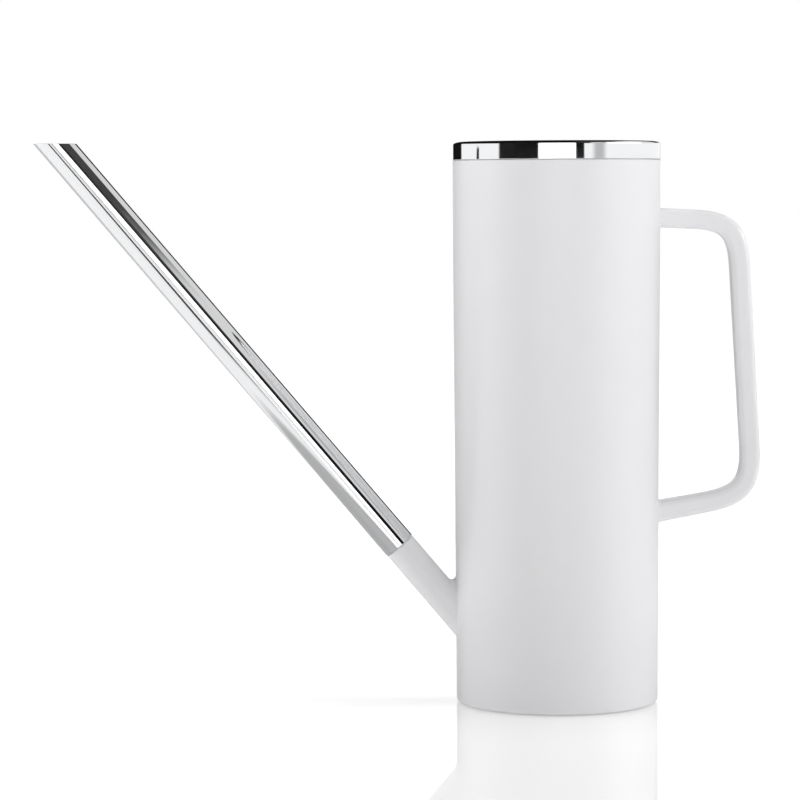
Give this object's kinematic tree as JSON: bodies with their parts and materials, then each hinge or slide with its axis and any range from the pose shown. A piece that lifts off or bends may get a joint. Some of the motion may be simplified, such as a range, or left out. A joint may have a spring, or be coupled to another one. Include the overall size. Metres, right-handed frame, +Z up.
{
  "type": "watering can",
  "caption": "Slim upright watering can: tall cylindrical beaker, polished rim, loop handle, and a long straight pull-off spout tube rising from low on the wall.",
  "frame": {"origin": "centre of the base pad's underside, on the body's axis, on the surface that the can stands on", "axes": "+Z up along the body's axis, +X towards the handle, -X towards the spout, +Y to the left of someone who holds the handle and pours"},
  "size_m": [0.3496, 0.1002, 0.271],
  "materials": {
    "white_plastic": "satin white, fine moulded texture",
    "rim_plastic": "matt",
    "soft_pad": "matt translucent grey",
    "black_rubber": "matt",
    "polished_steel": "mirror polished",
    "screw_steel": "bright",
    "insert_brass": "machined"
  },
  "bodies": {
    "can": {"body_shell": "white_plastic", "base_pad": "soft_pad", "rim_ring": "polished_steel", "rim_carrier": "rim_plastic", "spout_stub": "white_plastic", "spout_o_rings": "black_rubber", "handle": "white_plastic", "handle_inserts": "insert_brass", "handle_screws": "screw_steel", "screw_seals": "black_rubber"},
    "spout": {"spout_tube": "polished_steel"}
  },
  "joints": [
    {"name": "spout_pull", "type": "slide", "parent": "can", "child": "spout", "axis": [-0.6461, 0, 0.7632], "range_m": [0, 0.035]}
  ]
}
